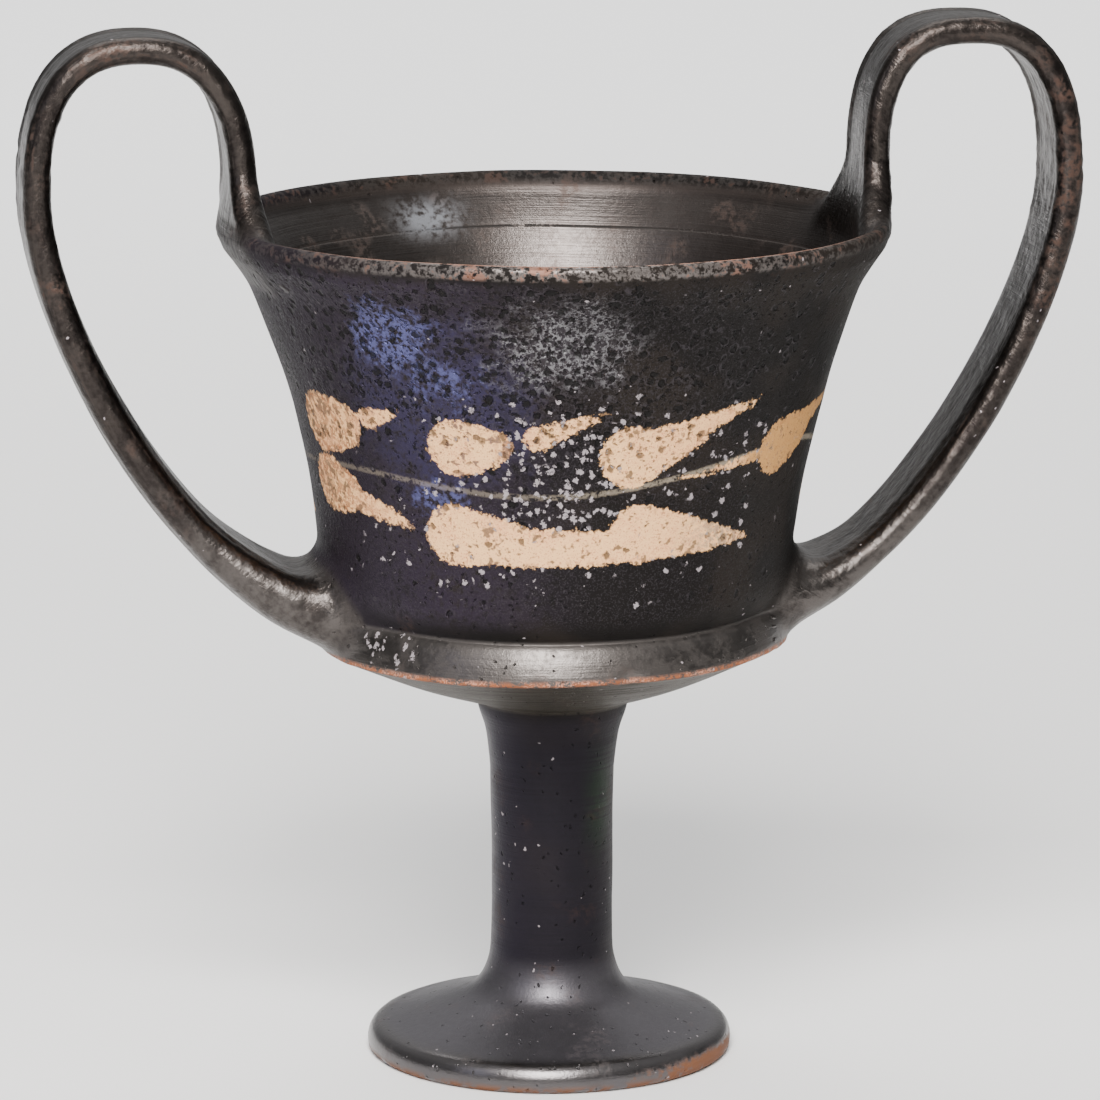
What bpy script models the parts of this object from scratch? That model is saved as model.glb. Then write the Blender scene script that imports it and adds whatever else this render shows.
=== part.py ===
"""Kantharos: a black-gloss drinking cup with a flared bowl, a tall stem and two high strap handles.

Metres, +Z up. The origin is on the axis, on the plane that the foot rests on.
The handles lie in the XZ plane, one on +X and one on -X.
"""

import math

import bmesh
import bpy
import numpy as np

# Foot and stem, from the table up
FOOT_RADIUS = 0.0403
FOOT_EDGE = 0.0052
FOOT_CHAMFER = 0.0017
FOOT_RISE = 0.0072
FOOT_FLARE = 0.0066
RING_WIDTH = 0.0060
RECESS_DEPTH = 0.0185
STEM_RADIUS = 0.0134
STEM_LENGTH = 0.0660
STEM_FOOT_REACH = 0.0160
STEM_TOP_REACH = 0.0140
STEM_TOP_FLARE = 0.0026

# Dish under the bowl, its sharp ridge, the rounded ledge and the groove above it
UNDERSIDE_DEPTH = 0.0150
LEDGE_HEIGHT = 0.0082
LEDGE_OUT = 0.0034
GROOVE_RADIUS = 0.0482

# Bowl
WALL_HEIGHT = 0.0844
LIP_RADIUS = 0.0734
LIP_THICKNESS = 0.0031
FLARE_ANGLE = math.radians(30.0)
WALL_THICKNESS = 0.0038
FLOOR_THICKNESS = 0.0062

# Curve of the wall, as shares of its height and of its flare from groove to lip
WALL_CURVE = ((0.81, 0.687), (0.48, 0.337), (0.16, 0.155))

# Handles: the path is the middle of the strap
HANDLE_OUT = 0.0392
HANDLE_SPRING = 0.0080
ARCH_SQUARENESS = 2.4
STRAP_WIDTH = 0.0235
STRAP_THICKNESS = 0.0060
STRAP_TROUGH = 0.20
LOWER_WIDTH = 0.0260
RIM_ROOT_DEPTH = 0.0100
RIM_ROOT_LENGTH = 0.0300
RIM_ROOT_WIDTH = 0.0370
RIM_ROOT_THICKNESS = 0.0098
LEDGE_ROOT_DEPTH = 0.0010
LEDGE_ROOT_WIDTH = 0.0350
LEDGE_ROOT_THICKNESS = 0.0155

# The handles were pulled by hand and differ a little
LEFT_HANDLE = {
    "side": -1.0,
    "leg_inset": 0.0050,
    "rise": 0.0307,
    "shoulder": 2.4,
    "drop": 0.0280,
    "sweep": 0.0340,
    "sweep_angle": math.radians(0.0),
    "root_above_ridge": 0.0086,
    "root_length": 0.0440,
    "lower_thickness": 0.0069,
}
RIGHT_HANDLE = {
    "side": 1.0,
    "leg_inset": 0.0040,
    "rise": 0.0318,
    "shoulder": 2.75,
    "drop": 0.0250,
    "sweep": 0.0360,
    "sweep_angle": math.radians(15.0),
    "root_above_ridge": 0.0066,
    "root_length": 0.0260,
    "lower_thickness": 0.0064,
}

# Heights above the table that follow from the sizes
CONE_TOP = FOOT_EDGE + FOOT_RISE
STEM_TOP = CONE_TOP + STEM_LENGTH
RIDGE_HEIGHT = STEM_TOP + UNDERSIDE_DEPTH
GROOVE_HEIGHT = RIDGE_HEIGHT + LEDGE_HEIGHT
LIP_HEIGHT = GROOVE_HEIGHT + WALL_HEIGHT
RIDGE_RADIUS = GROOVE_RADIUS + LEDGE_OUT
HANDLE_REACH = LIP_RADIUS + HANDLE_OUT

# How finely the surfaces are cut
TURN_SEGMENTS = 48
LIP_SEGMENTS = 4
WALL_STEPS = 3
ARCH_STATIONS = 12
LOWER_STATIONS = 16
EDGE_SEGMENTS = 3

GLOSS_COLOUR = (0.018, 0.016, 0.017, 1.0)
GLOSS_ROUGHNESS = 0.34


def spline(points, steps):
    """Smooth curve through the points, with the given number of steps in each span."""
    pts = [np.array(p, dtype=float) for p in points]
    padded = [2 * pts[0] - pts[1]] + pts + [2 * pts[-1] - pts[-2]]
    curve = []
    for a, b, c, d in zip(padded, padded[1:], padded[2:], padded[3:]):
        for i in range(steps):
            t = i / steps
            curve.append(0.5 * (2 * b + (c - a) * t + (2 * a - 5 * b + 4 * c - d) * t ** 2
                                + (3 * b - a - 3 * c + d) * t ** 3))
    curve.append(pts[-1])
    return curve


def arc(centre, radius, start, end, steps):
    """Points of a circular arc between two angles."""
    angles = np.linspace(start, end, steps + 1)
    return [np.array((centre[0] + radius * math.cos(a), centre[1] + radius * math.sin(a)))
            for a in angles]


def lip():
    """Round lip from its inner side over the top to its outer side."""
    half = LIP_THICKNESS / 2
    centre = (LIP_RADIUS - half, LIP_HEIGHT - half)
    return arc(centre, half, math.pi - FLARE_ANGLE, -FLARE_ANGLE, LIP_SEGMENTS)


def wall():
    """Outer wall as (radius, height), from under the lip down to the groove."""
    flare = LIP_RADIUS - GROOVE_RADIUS
    curve = [(GROOVE_RADIUS + out * flare, GROOVE_HEIGHT + up * WALL_HEIGHT)
             for up, out in WALL_CURVE]
    return spline([lip()[-1]] + curve + [(GROOVE_RADIUS, GROOVE_HEIGHT)], WALL_STEPS)


def inner_wall():
    """Inside of the wall: the outer wall moved in by a thickness that grows from the lip's."""
    outer = wall()
    inner = []
    for i in range(1, len(outer)):
        along = outer[min(i + 1, len(outer) - 1)] - outer[i - 1]
        inward = np.array((along[1], -along[0])) / np.linalg.norm(along)
        full = min(1.0, i / WALL_STEPS)
        inner.append(outer[i] + inward * (LIP_THICKNESS + (WALL_THICKNESS - LIP_THICKNESS) * full))
    return inner


def bowl_floor():
    """Inside of the bowl from the axis out to the foot of the inner wall."""
    edge = inner_wall()[-1]
    middle = STEM_TOP + FLOOR_THICKNESS
    depth = edge[1] - middle
    return spline([(0.0, middle), (0.45 * edge[0], middle + 0.10 * depth),
                   (0.80 * edge[0], middle + 0.43 * depth), edge], 2)


def ledge():
    """Rounded ledge from the groove down to the ridge."""
    shape = ((0.0, 0.92), (0.40, 0.85), (0.70, 0.62), (0.92, 0.34), (1.0, 0.10))
    return [np.array((GROOVE_RADIUS + out * LEDGE_OUT, RIDGE_HEIGHT + up * LEDGE_HEIGHT))
            for out, up in shape]


def underside():
    """Shallow dish from the ridge in to the stem."""
    inner = STEM_RADIUS + 1.3 * STEM_TOP_FLARE
    run = RIDGE_RADIUS - inner
    shape = ((1.0, 1.0), (0.54, 0.49), (0.12, 0.14), (0.0, 0.0))
    return spline([(inner + out * run, STEM_TOP + up * UNDERSIDE_DEPTH) for out, up in shape], 2)


def stem():
    """Stem from its flare under the bowl to where it starts to spread into the foot."""
    flared = STEM_RADIUS + STEM_TOP_FLARE
    top = spline([(flared, STEM_TOP - 0.15 * STEM_TOP_REACH),
                  (STEM_RADIUS + 0.26 * STEM_TOP_FLARE, STEM_TOP - 0.70 * STEM_TOP_REACH),
                  (STEM_RADIUS, STEM_TOP - 1.6 * STEM_TOP_REACH)], 2)
    return top


def foot():
    """Upper side of the foot: a concave flare, then a low cone out to the rounded edge."""
    cone_radius = STEM_RADIUS + FOOT_FLARE
    cone_run = FOOT_RADIUS - cone_radius
    top = spline([(STEM_RADIUS, CONE_TOP + STEM_FOOT_REACH),
                  (STEM_RADIUS + 0.16 * FOOT_FLARE, CONE_TOP + 0.48 * STEM_FOOT_REACH),
                  (STEM_RADIUS + 0.45 * FOOT_FLARE, CONE_TOP + 0.20 * STEM_FOOT_REACH),
                  (cone_radius, CONE_TOP),
                  (cone_radius + 0.48 * cone_run, FOOT_EDGE + 0.46 * FOOT_RISE),
                  (FOOT_RADIUS - 0.45 * FOOT_EDGE, FOOT_EDGE)], 2)
    edge = [np.array((FOOT_RADIUS - 0.12 * FOOT_EDGE, 0.78 * FOOT_EDGE)),
            np.array((FOOT_RADIUS, 0.50 * FOOT_EDGE)),
            np.array((FOOT_RADIUS - 0.10 * FOOT_CHAMFER, 0.24 * FOOT_EDGE)),
            np.array((FOOT_RADIUS - FOOT_CHAMFER, 0.0))]
    return top + edge


def recess():
    """Hollow under the foot, from the ring that it rests on up to a point on the axis."""
    radius = FOOT_RADIUS - FOOT_CHAMFER - RING_WIDTH
    return [np.array((radius, 0.0))] + spline(
        [(0.95 * radius, 0.06 * RECESS_DEPTH), (0.55 * radius, 0.32 * RECESS_DEPTH),
         (0.16 * radius, 0.86 * RECESS_DEPTH), (0.0, RECESS_DEPTH)], 2)


def vessel_profile():
    """Half section of the turned vessel: floor, inside, lip, then down the outer side."""
    inside = bowl_floor()[:-1] + inner_wall()[::-1]
    outside = wall()[1:] + ledge() + underside() + stem() + foot()
    return inside + lip() + outside + recess()


def mesh_object(name, verts, faces, edges, collection):
    mesh = bpy.data.meshes.new(name)
    mesh.from_pydata([tuple(float(c) for c in v) for v in verts], edges, faces)
    obj = bpy.data.objects.new(name, mesh)
    collection.objects.link(obj)
    return obj


def make_vessel(collection):
    """Bowl, stem and foot as one turned solid."""
    profile = vessel_profile()
    verts = [(radius, 0.0, height) for radius, height in profile]
    edges = [(i, i + 1) for i in range(len(verts) - 1)]
    vessel = mesh_object("kantharos", verts, [], edges, collection)
    screw = vessel.modifiers.new("turned", "SCREW")
    screw.axis = "Z"
    screw.steps = TURN_SEGMENTS
    screw.render_steps = TURN_SEGMENTS
    screw.use_merge_vertices = True
    screw.merge_threshold = 0.00001
    return vessel


def wall_middle(height):
    """Distance from the axis to the middle of the bowl's wall at a height."""
    outer = wall()[::-1]
    radius = np.interp(height, [p[1] for p in outer], [p[0] for p in outer])
    return float(radius) - WALL_THICKNESS / 2


def handle_path(handle):
    """Middle line of one strap as (distance from the axis, height), from the lip to the ledge."""
    spring = LIP_HEIGHT + HANDLE_SPRING
    leg = LIP_RADIUS - handle["leg_inset"]
    lowest = LIP_HEIGHT - RIM_ROOT_DEPTH
    under_lip = LIP_HEIGHT - 0.45 * RIM_ROOT_DEPTH
    path = spline([(wall_middle(lowest), lowest), (wall_middle(under_lip), under_lip),
                   (leg, spring)], 3)[:-1]
    centre = (leg + HANDLE_REACH) / 2
    half_span = (HANDLE_REACH - leg) / 2
    for i in range(ARCH_STATIONS):
        angle = math.pi * (1 - i / ARCH_STATIONS)
        power = 2 / (handle["shoulder"] if angle > math.pi / 2 else ARCH_SQUARENESS)
        across = math.copysign(abs(math.cos(angle)) ** power, math.cos(angle))
        path.append(np.array((centre + half_span * across,
                              spring + handle["rise"] * math.sin(angle) ** power)))
    start = np.array((HANDLE_REACH, spring))
    first = start - np.array((0.0, handle["drop"]))
    root = np.array((GROOVE_RADIUS - LEDGE_ROOT_DEPTH, RIDGE_HEIGHT + handle["root_above_ridge"]))
    angle = handle["sweep_angle"]
    second = root + handle["sweep"] * np.array((math.cos(angle), math.sin(angle)))
    for i in range(LOWER_STATIONS + 1):
        t = i / LOWER_STATIONS
        path.append((1 - t) ** 3 * start + 3 * (1 - t) ** 2 * t * first
                    + 3 * (1 - t) * t ** 2 * second + t ** 3 * root)
    return path


def ease(value):
    value = min(1.0, max(0.0, value))
    return value * value * (3 - 2 * value)


def strap_size(handle, run, total):
    """Width, thickness and share of root of the strap at a distance along its path."""
    rim_root = 1 - ease(run / RIM_ROOT_LENGTH)
    ledge_root = ease(1 - (total - run) / handle["root_length"])
    lower = ease((run - 0.35 * total) / (0.45 * total))
    width = (STRAP_WIDTH + (LOWER_WIDTH - STRAP_WIDTH) * lower
             + (RIM_ROOT_WIDTH - STRAP_WIDTH) * rim_root
             + (LEDGE_ROOT_WIDTH - LOWER_WIDTH) * ledge_root)
    thickness = (STRAP_THICKNESS + (handle["lower_thickness"] - STRAP_THICKNESS) * lower
                 + (RIM_ROOT_THICKNESS - STRAP_THICKNESS) * rim_root
                 + (LEDGE_ROOT_THICKNESS - handle["lower_thickness"]) * ledge_root)
    in_wall = 1 - ease(run / RIM_ROOT_DEPTH)
    thickness += (0.5 * WALL_THICKNESS - thickness) * in_wall
    return width, thickness, max(rim_root, ledge_root)


def strap_section(width, thickness, trough):
    """Section of the strap as (across, out): round edges with a shallow trough on each face."""
    half = width / 2
    roll = thickness / 2
    edge = arc((half - roll, 0.0), roll, 0.0, math.pi / 2, EDGE_SEGMENTS)
    face = [np.array((0.5 * (half - roll), roll * (1 - 0.8 * trough))),
            np.array((0.0, roll * (1 - trough)))]
    quarter = edge + face
    top = quarter + [p * (-1, 1) for p in quarter[-2::-1]]
    return top + [p * (1, -1) for p in top[-2:0:-1]]


def handle_rings(handle):
    """Rings of points round the strap. At each root they follow the curve of the bowl."""
    path = handle_path(handle)
    steps = [np.linalg.norm(b - a) for a, b in zip(path, path[1:])]
    runs = np.concatenate([[0.0], np.cumsum(steps)])
    rings = []
    for i, point in enumerate(path):
        along = path[min(i + 1, len(path) - 1)] - path[max(i - 1, 0)]
        outward = np.array((-along[1], along[0])) / np.linalg.norm(along)
        width, thickness, root = strap_size(handle, runs[i], runs[-1])
        ring = []
        for y, out in strap_section(width, thickness, STRAP_TROUGH * (1 - root)):
            x, z = point + outward * out
            radius = max(x, abs(y) * 1.2)
            x -= root * (radius - math.sqrt(radius ** 2 - y ** 2))
            ring.append((handle["side"] * x, y, z))
        rings.append(ring)
    return rings


def make_handle(name, handle, collection):
    """One strap handle, lofted along its path because its section changes into each root."""
    rings = handle_rings(handle)
    count = len(rings[0])
    faces = []
    for first in range(0, (len(rings) - 1) * count, count):
        for k in range(count):
            after = (k + 1) % count
            faces.append((first + k, first + after, first + count + after, first + count + k))
    last = (len(rings) - 1) * count
    faces.append(tuple(range(count))[::-1])
    faces.append(tuple(range(last, last + count)))
    obj = mesh_object(name, [p for ring in rings for p in ring], faces, [], collection)
    solid = bmesh.new()
    solid.from_mesh(obj.data)
    bmesh.ops.recalc_face_normals(solid, faces=solid.faces)
    bmesh.ops.triangulate(solid, faces=[f for f in solid.faces if len(f.verts) > 4])
    solid.to_mesh(obj.data)
    solid.free()
    obj.hide_render = True
    obj.display_type = "WIRE"
    return obj


def join(obj, tool):
    union = obj.modifiers.new("joined " + tool.name, "BOOLEAN")
    union.operation = "UNION"
    union.solver = "EXACT"
    union.object = tool


def gloss_material():
    material = bpy.data.materials.new("black gloss")
    material.use_nodes = True
    shader = material.node_tree.nodes["Principled BSDF"]
    shader.inputs["Base Color"].default_value = GLOSS_COLOUR
    shader.inputs["Roughness"].default_value = GLOSS_ROUGHNESS
    shader.inputs["Metallic"].default_value = 0.0
    return material


def main():
    for obj in list(bpy.data.objects):
        bpy.data.objects.remove(obj, do_unlink=True)
    parts = bpy.data.collections.new("kantharos")
    tools = bpy.data.collections.new("handles to join")
    bpy.context.scene.collection.children.link(parts)
    bpy.context.scene.collection.children.link(tools)
    vessel = make_vessel(parts)
    for name, handle in (("left_handle", LEFT_HANDLE), ("right_handle", RIGHT_HANDLE)):
        join(vessel, make_handle(name, handle, tools))
    vessel.data.materials.append(gloss_material())
    vessel.data.shade_smooth()
    vessel.data.set_sharp_from_angle(angle=math.radians(35.0))


main()
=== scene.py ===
"""Looks of the kantharos: a worn black-gloss drinking cup with a painted band of leaves.

Metres, +Z up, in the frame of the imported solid: the axis is the Z axis and the foot rests on Z = 0.
The handles lie in the XZ plane. The photograph's side is -Y. Paint and wear are laid out in millimetres.
"""

import math

import bmesh
import bpy
import numpy as np
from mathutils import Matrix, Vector, noise
from mathutils.bvhtree import BVHTree
from mathutils.kdtree import KDTree


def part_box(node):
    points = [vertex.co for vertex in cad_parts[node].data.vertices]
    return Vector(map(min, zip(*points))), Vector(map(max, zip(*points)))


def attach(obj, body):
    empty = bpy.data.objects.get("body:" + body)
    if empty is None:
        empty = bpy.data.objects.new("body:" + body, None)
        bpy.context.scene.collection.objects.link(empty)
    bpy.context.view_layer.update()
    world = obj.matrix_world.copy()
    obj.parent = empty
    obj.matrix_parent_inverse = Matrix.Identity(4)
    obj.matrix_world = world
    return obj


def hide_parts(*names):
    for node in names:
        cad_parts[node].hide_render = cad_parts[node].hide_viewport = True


MM = 0.001

# Outline of the turned vessel as (radius, height), from the middle of the bowl's floor to the foot
FLOOR = ((0.0, 0.0846), (0.0200, 0.0863), (0.0355, 0.0919), (0.0444, 0.1016))
LIP = ((0.0702, 0.1846), (0.0707, 0.1855), (0.0716, 0.1860), (0.0727, 0.1858), (0.0733, 0.1851),
       (0.0734, 0.1842), (0.0732, 0.1832), (0.0728, 0.1825), (0.0723, 0.1814), (0.0718, 0.1802))
WALL = ((0.0718, 0.1802), (0.0688, 0.1760), (0.0655, 0.1700), (0.0593, 0.1520), (0.0545, 0.1320),
        (0.0521, 0.1160), (0.0511, 0.1080), (0.0494, 0.1034), (0.0482, 0.1014))
LEDGE = ((0.0482, 0.1014), (0.0488, 0.1009), (0.0496, 0.0998), (0.0506, 0.0976), (0.0513, 0.0954),
         (0.0517, 0.0938), (0.0516, 0.0931), (0.0507, 0.0927))
UNDERSIDE = ((0.0507, 0.0927), (0.0360, 0.0860), (0.0260, 0.0824), (0.0190, 0.0803), (0.0168, 0.0788),
             (0.0160, 0.0764), (0.0148, 0.0730), (0.0141, 0.0690), (0.0136, 0.0640))
STEM = ((0.0136, 0.0640), (0.0134, 0.0500), (0.0133, 0.0340))
FOOT = ((0.0133, 0.0340), (0.0135, 0.0240), (0.0141, 0.0200), (0.0156, 0.0162), (0.0180, 0.0134),
        (0.0220, 0.0114), (0.0280, 0.0093), (0.0340, 0.0074), (0.0370, 0.0067), (0.0386, 0.0061))
FOOT_EDGE = ((0.0386, 0.0061), (0.0395, 0.0052), (0.0401, 0.0039), (0.0403, 0.0024), (0.0400, 0.0009),
             (0.0388, 0.0))
RECESS = ((0.0326, 0.0), (0.0312, 0.0012), (0.0180, 0.0060), (0.0060, 0.0150), (0.0, 0.0185))
WALL_THICKNESS = 0.0038
LIP_THICKNESS = 0.0031
LIP_TAPER = 0.0200
FLOOR_MARGIN = 0.0015

# Distance between the rows of the turned surface, finer where it turns sharply
FINE_ROW = 0.00042
OUTSIDE_ROW = 0.00120
INSIDE_ROW = 0.00180
TURN_SEGMENTS = 216
AXIS_GAP = 0.001

# Points closer than this are welded: on the axis, as doubles, and as slivers along the seams
AXIS_WELD = 0.00002
DOUBLES_WELD = 0.00001
SEAM_WELD = 0.00012

# Strap handles: the path is the middle of the strap
LIP_HEIGHT = 0.1860
RIDGE_HEIGHT = 0.0934
HANDLE_REACH = 0.1126
HANDLE_SPRING = 0.0080
RIM_ROOT_DEPTH = 0.0100
RIM_ROOT_BEND = 0.45
RIM_ROOT_START = 0.0060
RIM_ROOT_LENGTH = 0.0170
RIM_ROOT_WIDTH = 0.0440
RIM_ROOT_THICKNESS = 0.0080
RIM_ROOT_INWARD = 0.0012
LEDGE_ROOT_RADIUS = 0.0478
LEDGE_ROOT_WIDTH = 0.0360
LEDGE_ROOT_THICKNESS = 0.0130
STRAP_WIDTH = 0.0235
STRAP_THICKNESS = 0.0060
LOWER_WIDTH = 0.0258
EDGE_ROLL = 0.0027
FACE_SINK = 0.12
FACE_SLOPE = 0.0016
GROOVE_SINK = 0.06
GROOVE_WIDTH = 0.55
LOWER_SWELL = 2.4
LOWER_FROM = 0.35
LOWER_OVER = 0.45
WRAP_LIMIT = 1.2
LEFT_HANDLE = {"side": -1, "leg": 0.0684, "rise": 0.0307, "inner_shoulder": 2.4, "outer_shoulder": 2.4,
               "drop": 0.0280, "sweep": 0.0340, "sweep_angle": 8.0, "root_height": 0.1008,
               "root_length": 0.0400, "lower_thickness": 0.0069}
RIGHT_HANDLE = {"side": 1, "leg": 0.0694, "rise": 0.0318, "inner_shoulder": 2.75, "outer_shoulder": 2.4,
                "drop": 0.0250, "sweep": 0.0360, "sweep_angle": 15.0, "root_height": 0.1000,
                "root_length": 0.0260, "lower_thickness": 0.0064}
STATION_STEP = 0.0017
ARCH_POINTS = 120
LOWER_POINTS = 160
EDGE_POINTS = 8
FACE_POINTS = 12

# Clay smoothed into the corners where a handle joins the vessel, by how far it reaches from the seam
RIM_REACH = 0.0150
LIP_REACH = 0.0045
LEDGE_REACH = 0.0120
RIDGE_REACH = 0.0040
SEAM_GAP = 0.0005

# Where a joint can be: farther out, closer to the XZ plane and higher than these. The reach changes
# over the fades, and is the ledge's below the middle of the bowl
JOINT_RADIUS = 0.040
JOINT_ASIDE = 0.036
JOINT_HEIGHT = 0.080
MIDDLE_HEIGHT = 0.150
MIDDLE_FADE = 0.030
WALL_FADE = 0.006
RIDGE_FADE = 0.006
STRAP_FADE = 0.009
LEAST_SLOPE = 0.4
BLEND_ROUNDS = 4
EVENING_ROUNDS = 5
RELAX_ROUNDS = 18
RELAX_STEP = 0.6

# What the potter's hand left: the axis wanders along X with height, and the ledge leans
AXIS_DRIFT = ((0.0, -0.0009), (0.020, -0.0003), (0.085, -0.0002), (0.120, 0.0006), (0.146, 0.0010),
              (0.170, 0.0004), (0.230, -0.0003))
DRIFT_RADIUS = 0.062
DRIFT_FADE = 0.020
LEDGE_LEAN = math.radians(0.9)
LEAN_REACH = 0.016
WOBBLE = 0.00022
WOBBLE_SCALE = 38.0
LEVEL_HEIGHT = 0.006

# Nibbled edges: height or radius where the loss starts, and how far it takes to be full
NIBBLED_RIDGE = (0.0495, 0.0015)
NIBBLED_TOP = (0.1815, 0.0015)
NIBBLED_LIP = (0.0722, 0.0010)
RIDGE_BAND = 0.0014
RIDGE_NIBBLE = 0.45 * MM
LIP_NIBBLE = 0.40 * MM

# Small chips: around from the front in degrees, distance from the axis, height, size and depth
CHIPS = (
    {"angle": 10.0, "radius": 0.0516, "height": RIDGE_HEIGHT, "size": 0.0030, "depth": 0.0009},
    {"angle": -22.0, "radius": 0.0135, "height": 0.0560, "size": 0.0016, "depth": 0.0003},
    {"angle": 150.0, "radius": 0.0516, "height": RIDGE_HEIGHT, "size": 0.0040, "depth": 0.0011},
)

# Strokes of the painted leaves on the wall in millimetres: place of the round base along the wall and up,
# radius of the base, length to the tip, angle of the tip in degrees, and how fast the stroke narrows
BAND_RADIUS = 53.0
UPPER_BLOBS = ((-65.0, 145.8, 6.7, 13.5, 6.0, 0.22), (-28.4, 144.6, 6.3, 11.5, 6.0, 0.42),
               (6.6, 143.0, 6.8, 17.0, 14.0, 0.8), (43.6, 141.2, 6.0, 13.0, 18.0, 0.32))
UPPER_TAILS = ((-48.4, 149.2, 2.5, 9.0, 15.0, 0.9), (-12.5, 147.4, 2.6, 15.0, 22.0, 0.8),
               (13.0, 146.6, 2.7, 23.0, 17.5, 0.7), (53.0, 145.8, 2.3, 15.0, 14.0, 0.7),
               (36.5, 140.4, 1.1, 20.0, 189.0, 0.7))
LOWER_STROKES = ((-66.0, 132.4, 6.3, 12.0, -8.0, 0.32), (-56.0, 130.2, 2.7, 16.5, -14.0, 0.5),
                 (-30.0, 125.3, 6.8, 22.0, -5.0, 0.50), (-18.0, 123.2, 4.3, 40.0, 0.0, 0.25),
                 (9.0, 125.9, 6.4, 29.0, -7.0, 0.85))

# Where a leaf is worn through along the wall, and how far
WORN_GAP = (-17.5, 4.6)

# The band behind: where it starts and ends along the wall, and its strokes, which repeat. Off the band
# their edges count as this far away
BACK_START = 69.0
BACK_END = 250.0
BACK_REPEATS = 6
BACK_STROKES = ((7.0, 144.2, 6.0, 14.0, 10.0, 0.8), (15.0, 147.0, 2.7, 15.0, 18.0, 0.8),
                (6.5, 126.4, 6.2, 25.0, -8.0, 0.9))
OFF_THE_BAND = 40.0

# The vine between the leaves: height, waves as (number around, height, phase), and half its width
VINE_HEIGHT = 136.7
VINE_WAVES = ((2, 2.8, 0.65), (3, 3.3, -1.46))
VINE_WIDTH = 0.62

# Patches on the vessel: around from the front in radians and how far, height and how far, and strength
FLAKES = ((-0.14, 0.66, 138.0, 24.0, 1.15), (-0.15, 1.20, 126.0, 22.0, 0.50),
          (0.45, 0.60, 140.0, 16.0, 0.55))
# The blue plates and haze and the silver patch are iridescent gloss, partly painted reflection of the softbox
UPPER_PLATES = ((-0.72, 0.34, 168.5, 17.0, 1.0), (-0.58, 0.34, 160.0, 18.0, 0.72))
LOWER_PLATES = (-0.62, 0.32, 132.5, 10.0, 0.75)
BLUE_HAZE = (-0.60, 0.66, 154.0, 34.0, 1.0)
SILVER = (-0.14, 0.46, 168.0, 21.0, 1.0)
# The stem's green patch is iridescent gloss, partly painted reflection
GREEN = (0.75, 0.50, 58.0, 18.0, 1.0)

# Flakes on the left of the ledge: where along X, Y and Z in millimetres, and how far
LEDGE_FLAKES = ((-41.0, 9.0), (-27.0, 14.0), (97.5, 7.0))

# Changes around the vessel: from the front in radians, and how far
LEFTWARD = (-1.55, 1.25)
TOWARD_FRONT = (-0.05, 1.15)
FOOT_WEAR = (0.95, 0.95)
PITTED = (-0.35, 1.60)
PITTED_FROM = 136.0
PITTED_OVER = 16.0

# Heights in millimetres between which a finish lies: it starts, is whole, is still whole and ends
WALL_BAND = (103.0, 108.0, 180.0, 183.5)
LEDGE_BAND = (92.6, 93.4, 100.8, 102.2)
UNDERSIDE_BAND = (78.5, 80.0, 92.6, 93.3)
OCHRE_BAND = (133.0, 134.0, 151.0, 152.5)

# Heights in millimetres over which a finish fades in
STEM_FADE = (80.0, 76.0)
FOOT_FADE = (24.0, 14.0)
FOOT_EDGE_FADE = (7.2, 6.2)
INSIDE_FADE = (184.0, 180.5)
LOWER_STRAP_FADE = (142.0, 104.0)
UPPER_STRAP_FADE = (112.0, 128.0)
LIP_FADE = (182.6, 183.8)
CREST_FADE = (184.9, 185.5)

# Marks inside the bowl in millimetres and radians: a ring cut on the wheel, and where a pale stain lies
# and how far it reaches
RING_HEIGHT = 174.4
RING_WIDTH = 0.42
STAIN_HEIGHT = (176.6, 6.5)
STAIN_ANGLE = (2.85, 0.20)

# Middle of a handle's loop in millimetres, as (out, up). The drawn lines of the straps run round it
LOOP_MIDDLE = (92.0, 172.0)

# Finishes as red, green, blue, gloss and roughness. Gloss over black is the lustre of a dark metal
GROUND_BLACK = (0.0045, 0.0037, 0.0034, 0.0, 0.66)
GROUND_BROWN = (0.0100, 0.0076, 0.0062, 0.0, 0.66)
GROUND_VIOLET = (0.0115, 0.0085, 0.0130, 0.0, 0.60)
# Violet sheen on the left of the wall: iridescent gloss, partly painted reflection
LEFT_SHEEN_AND_REFLECTION = (0.0280, 0.0215, 0.0320, 1.0, 0.46)
# Blue and silver sheen: iridescent gloss, partly painted reflection
BLUE_SHEEN_AND_REFLECTION = (0.0760, 0.0790, 0.1800, 1.0, 0.38)
BLUE_HAZE_AND_REFLECTION = (0.0320, 0.0280, 0.0560, 1.0, 0.42)
SILVER_SHEEN_AND_REFLECTION = (0.1700, 0.1680, 0.1740, 1.0, 0.36)
PIT_RIM = (0.0420, 0.0370, 0.0420, 1.0, 0.36)
INSIDE_GLOSS = (0.0780, 0.0690, 0.0650, 1.0, 0.30)
INSIDE_DULL = (0.0420, 0.0340, 0.0310, 1.0, 0.44)
INSIDE_STAIN = (0.1500, 0.1560, 0.1700, 0.4, 0.50)
LEDGE_GLOSS = (0.0980, 0.0890, 0.0840, 1.0, 0.34)
UNDERSIDE_GLOSS = (0.0700, 0.0620, 0.0500, 1.0, 0.46)
STEM_GLOSS = (0.0230, 0.0205, 0.0290, 1.0, 0.38)
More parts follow.
